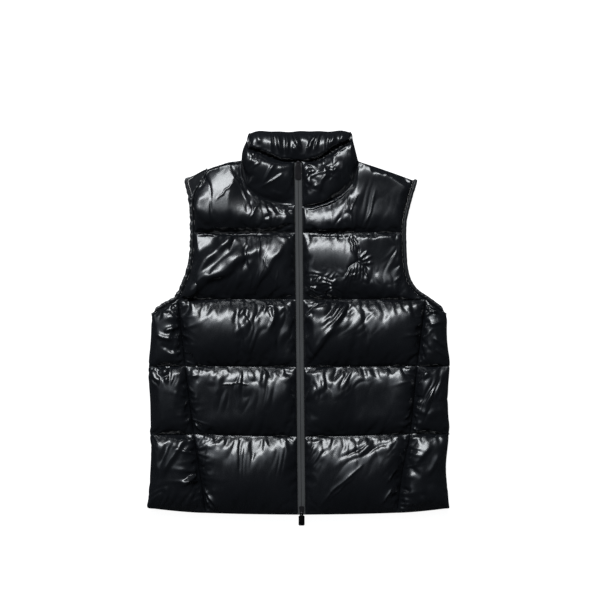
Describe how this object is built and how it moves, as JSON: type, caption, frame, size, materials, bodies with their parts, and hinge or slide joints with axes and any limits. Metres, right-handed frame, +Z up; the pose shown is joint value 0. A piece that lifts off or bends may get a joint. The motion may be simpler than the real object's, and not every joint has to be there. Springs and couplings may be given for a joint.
{
  "type": "puffer vest",
  "caption": "Sleeveless quilted puffer vest with a stand collar and a two-way front zip, zipped up and lying flat on its back.",
  "frame": {"origin": "centre of the footprint at the height of the table that the back lies on", "axes": "+Y from the hem to the collar, +X to the wearer's left, +Z up out of the fronts"},
  "size_m": [0.5674, 0.7386, 0.0511],
  "materials": {
    "shell_fabric": "glossy coated nylon, blue-black",
    "binding_fabric": "semi-matt woven binding, black",
    "zip_tape": "matt woven tape, dark grey",
    "slider_metal": "satin lacquered metal, black"
  },
  "bodies": {
    "vest": {"back": "shell_fabric", "front_right": "shell_fabric", "front_left": "shell_fabric", "side_right": "shell_fabric", "side_left": "shell_fabric", "collar": "shell_fabric", "armhole_binding_right": "binding_fabric", "armhole_binding_left": "binding_fabric", "zip_tape_right": "zip_tape", "zip_tape_left": "zip_tape", "top_slider": "slider_metal", "bottom_slider": "slider_metal"},
    "top_pull": {"top_pull_tab": "slider_metal"},
    "bottom_pull": {"bottom_pull_tab": "slider_metal"}
  },
  "joints": [
    {"name": "top_tab_hinge", "type": "hinge", "parent": "vest", "child": "top_pull", "pos_m": [-0.00042, 0.31132, 0.0291], "axis": [-1, 0, 0], "range_deg": [0, 160]},
    {"name": "bottom_tab_hinge", "type": "hinge", "parent": "vest", "child": "bottom_pull", "pos_m": [0.00604, -0.34418, 0.0291], "axis": [-1, 0, 0], "range_deg": [0, 190]}
  ]
}
